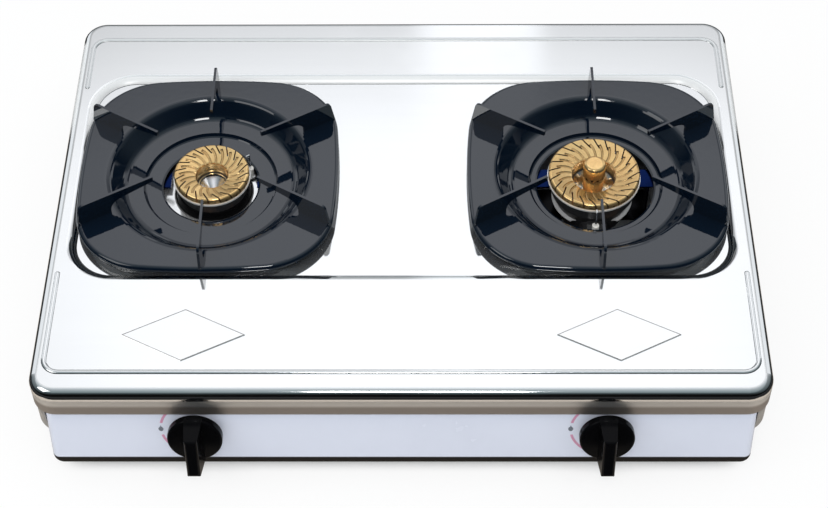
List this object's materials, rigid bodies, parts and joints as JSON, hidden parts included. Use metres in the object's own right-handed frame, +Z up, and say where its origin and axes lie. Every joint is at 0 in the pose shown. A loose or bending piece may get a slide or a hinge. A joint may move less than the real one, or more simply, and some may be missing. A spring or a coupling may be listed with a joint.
{
  "type": "table gas stove",
  "caption": "Table gas stove with a pressed steel top, lift-off pan supports with blades, brass ring burners and push-and-turn knobs on a leaning front panel.",
  "frame": {"origin": "on the table under the middle of the stove's outline", "axes": "+X to the user's right, +Y to the rear, +Z up"},
  "size_m": [0.6, 0.4944, 0.1275],
  "materials": {
    "steel": "bright rolled stainless sheet",
    "enamel_white": "glossy white enamel",
    "galvanised": "plain zinc-coated sheet",
    "enamel_black": "glossy black vitreous enamel",
    "brass": "machined, satin",
    "iron": "black heatproof paint",
    "zinc_cast": "die-cast, dull",
    "knob_black": "glossy moulded",
    "piezo_grey": "moulded",
    "rubber": "moulded",
    "ceramic_white": "glazed insulator",
    "bright": "bright plated steel"
  },
  "bodies": {
    "body": {"top_plate": "steel", "base_tray": "galvanised", "front_panel": "enamel_white", "panel_screws": "bright", "plate_screws": "bright", "feet": "rubber", "foot_screws": "bright", "gas_rail": "galvanised", "inlet_pipe": "galvanised", "inlet_nipple": "brass", "inlet_nut": "brass", "valve_screws": "bright", "valve_body_left": "zinc_cast", "valve_body_right": "zinc_cast", "injector_left": "brass", "injector_right": "brass", "piezo_left": "piezo_grey", "piezo_right": "piezo_grey", "burner_body_left": "iron", "burner_body_right": "iron", "burner_bracket_left": "galvanised", "burner_bracket_right": "galvanised", "seat_plate_left": "bright", "seat_plate_right": "bright", "drip_dish_left": "bright", "flange_ring_right": "bright", "inner_cone_left": "bright", "inner_cone_right": "bright", "ceramic_left": "ceramic_white", "ceramic_right": "ceramic_white", "spark_rod_left": "bright", "spark_rod_right": "bright", "spark_clip_left": "bright", "spark_clip_right": "bright"},
    "plug_left": {"valve_plug_left": "brass", "spring_left": "bright"},
    "knob_left": {"knob_left": "knob_black", "spindle_left": "bright"},
    "support_left": {"pan_left": "enamel_black", "blades_left": "enamel_black"},
    "ring_left": {"burner_ring_left": "brass"},
    "shutter_left": {"air_shutter_left": "galvanised"},
    "plug_right": {"valve_plug_right": "brass", "spring_right": "bright"},
    "knob_right": {"knob_right": "knob_black", "spindle_right": "bright"},
    "support_right": {"pan_right": "enamel_black", "blades_right": "enamel_black"},
    "ring_right": {"burner_ring_right": "brass"},
    "shutter_right": {"air_shutter_right": "galvanised"},
    "cap_right": {"centre_cap_right": "brass"}
  },
  "joints": [
    {"name": "knob_turn_left", "type": "hinge", "parent": "body", "child": "plug_left", "pos_m": [-0.167, -0.20853, 0.053], "axis": [0, -0.9816, 0.1908], "range_deg": [0, 150]},
    {"name": "knob_push_left", "type": "slide", "parent": "plug_left", "child": "knob_left", "axis": [0, 0.9816, -0.1908], "range_m": [0, 0.0035], "stiffness_N_per_m": 600, "springref_m": -0.004},
    {"name": "support_lift_left", "type": "slide", "parent": "body", "child": "support_left", "axis": [0, 0, 1], "range_m": [0, 0.12]},
    {"name": "ring_lift_left", "type": "slide", "parent": "body", "child": "ring_left", "axis": [0, 0, 1], "range_m": [0, 0.08]},
    {"name": "air_shutter_turn_left", "type": "hinge", "parent": "body", "child": "shutter_left", "pos_m": [-0.167, -0.1673, 0.04499], "axis": [0, 0.9928, 0.1201], "range_deg": [0, 45]},
    {"name": "knob_turn_right", "type": "hinge", "parent": "body", "child": "plug_right", "pos_m": [0.167, -0.20853, 0.053], "axis": [0, -0.9816, 0.1908], "range_deg": [0, 150]},
    {"name": "knob_push_right", "type": "slide", "parent": "plug_right", "child": "knob_right", "axis": [0, 0.9816, -0.1908], "range_m": [0, 0.0035], "stiffness_N_per_m": 600, "springref_m": -0.004},
    {"name": "support_lift_right", "type": "slide", "parent": "body", "child": "support_right", "axis": [0, 0, 1], "range_m": [0, 0.12]},
    {"name": "ring_lift_right", "type": "slide", "parent": "body", "child": "ring_right", "axis": [0, 0, 1], "range_m": [0, 0.08]},
    {"name": "air_shutter_turn_right", "type": "hinge", "parent": "body", "child": "shutter_right", "pos_m": [0.167, -0.1673, 0.04499], "axis": [0, 0.9928, 0.1201], "range_deg": [0, 45]},
    {"name": "cap_lift_right", "type": "slide", "parent": "body", "child": "cap_right", "axis": [0, 0, 1], "range_m": [0, 0.1]}
  ]
}
